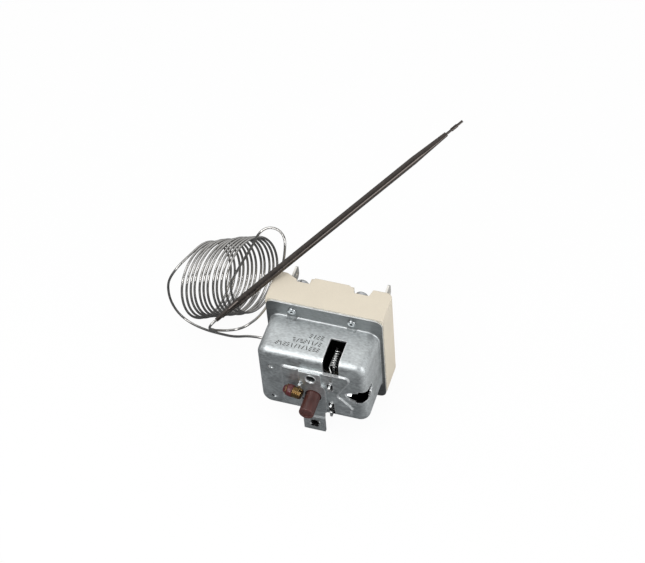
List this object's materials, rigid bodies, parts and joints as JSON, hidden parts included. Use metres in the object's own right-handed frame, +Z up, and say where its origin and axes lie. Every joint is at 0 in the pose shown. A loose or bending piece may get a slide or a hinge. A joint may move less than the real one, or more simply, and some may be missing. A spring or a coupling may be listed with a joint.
{
  "type": "high limit thermostat",
  "caption": "Capillary high limit thermostat with a manual reset pin, a drawn steel can on a moulded base, screw terminals, a coiled capillary and a pinched sensing bulb.",
  "frame": {"origin": "midpoint of the two M4 fixing holes, on the front face of the mounting bracket", "axes": "-Y out of the front towards the installer, +X to the right seen from the front, +Z up along the line of the fixing holes"},
  "size_m": [0.1072, 0.1125, 0.0797],
  "materials": {
    "zinc_steel": "zinc-plated sheet steel, satin",
    "moulding": "cream thermoset moulding, matt",
    "plate_board": "brown insulating board",
    "rivet_steel": "bright plated steel",
    "brass": "plain brass",
    "lacquer": "red locking lacquer",
    "pin_plastic": "red-brown moulded plastic",
    "spring_steel": "spring steel, bright",
    "carrier_plastic": "black thermoset moulding",
    "tinned_brass": "tin-plated brass",
    "screw_steel": "nickel-plated steel",
    "stainless": "stainless steel, satin",
    "capillary_steel": "drawn steel tube",
    "bulb_steel": "dark drawn steel"
  },
  "bodies": {
    "housing": {"housing_can": "zinc_steel", "base_block": "moulding", "insulating_plate": "plate_board", "flange_rivets": "rivet_steel", "mounting_bracket": "zinc_steel", "calibration_screw": "brass", "lacquer_seal": "lacquer", "tension_spring": "spring_steel", "return_spring": "spring_steel", "diaphragm_capsule": "stainless", "capsule_nut": "screw_steel", "capsule_strap": "zinc_steel", "strap_rivets": "rivet_steel", "terminal_screws": "screw_steel", "capillary_inlet": "capillary_steel", "capillary_lead": "capillary_steel", "capillary_coil": "capillary_steel", "capillary_tail": "capillary_steel", "sensing_bulb": "bulb_steel", "terminal_top_left": "tinned_brass", "terminal_bottom_left": "tinned_brass", "terminal_top_middle": "tinned_brass", "terminal_bottom_middle": "tinned_brass", "terminal_top_right": "tinned_brass", "terminal_bottom_right": "tinned_brass"},
    "reset_pin": {"reset_pin": "pin_plastic"},
    "trip_lever": {"trip_lever": "spring_steel"},
    "contact_carrier": {"contact_carrier": "carrier_plastic", "contact_bridge_left": "brass", "contact_leaf_left": "spring_steel", "contact_bridge_middle": "brass", "contact_leaf_middle": "spring_steel", "contact_bridge_right": "brass", "contact_leaf_right": "spring_steel"}
  },
  "joints": [
    {"name": "reset_press", "type": "slide", "parent": "housing", "child": "reset_pin", "axis": [0, 1, 0], "range_m": [0, 0.00167], "stiffness_N_per_m": 400},
    {"name": "lever_swing", "type": "hinge", "parent": "housing", "child": "trip_lever", "pos_m": [0.0073, 0.0014, 0], "axis": [0, 0, -1], "range_deg": [0, 14.2], "deforming": ["tension_spring"]},
    {"name": "contact_stroke", "type": "slide", "parent": "housing", "child": "contact_carrier", "axis": [0, 1, 0], "range_m": [0, 0.00185], "deforming": ["return_spring"]}
  ],
  "couplings": [
    {"joint": "lever_swing", "follows": "reset_press", "rad_per_m": 147.06},
    {"joint": "contact_stroke", "follows": "reset_press", "ratio": 1.08}
  ]
}
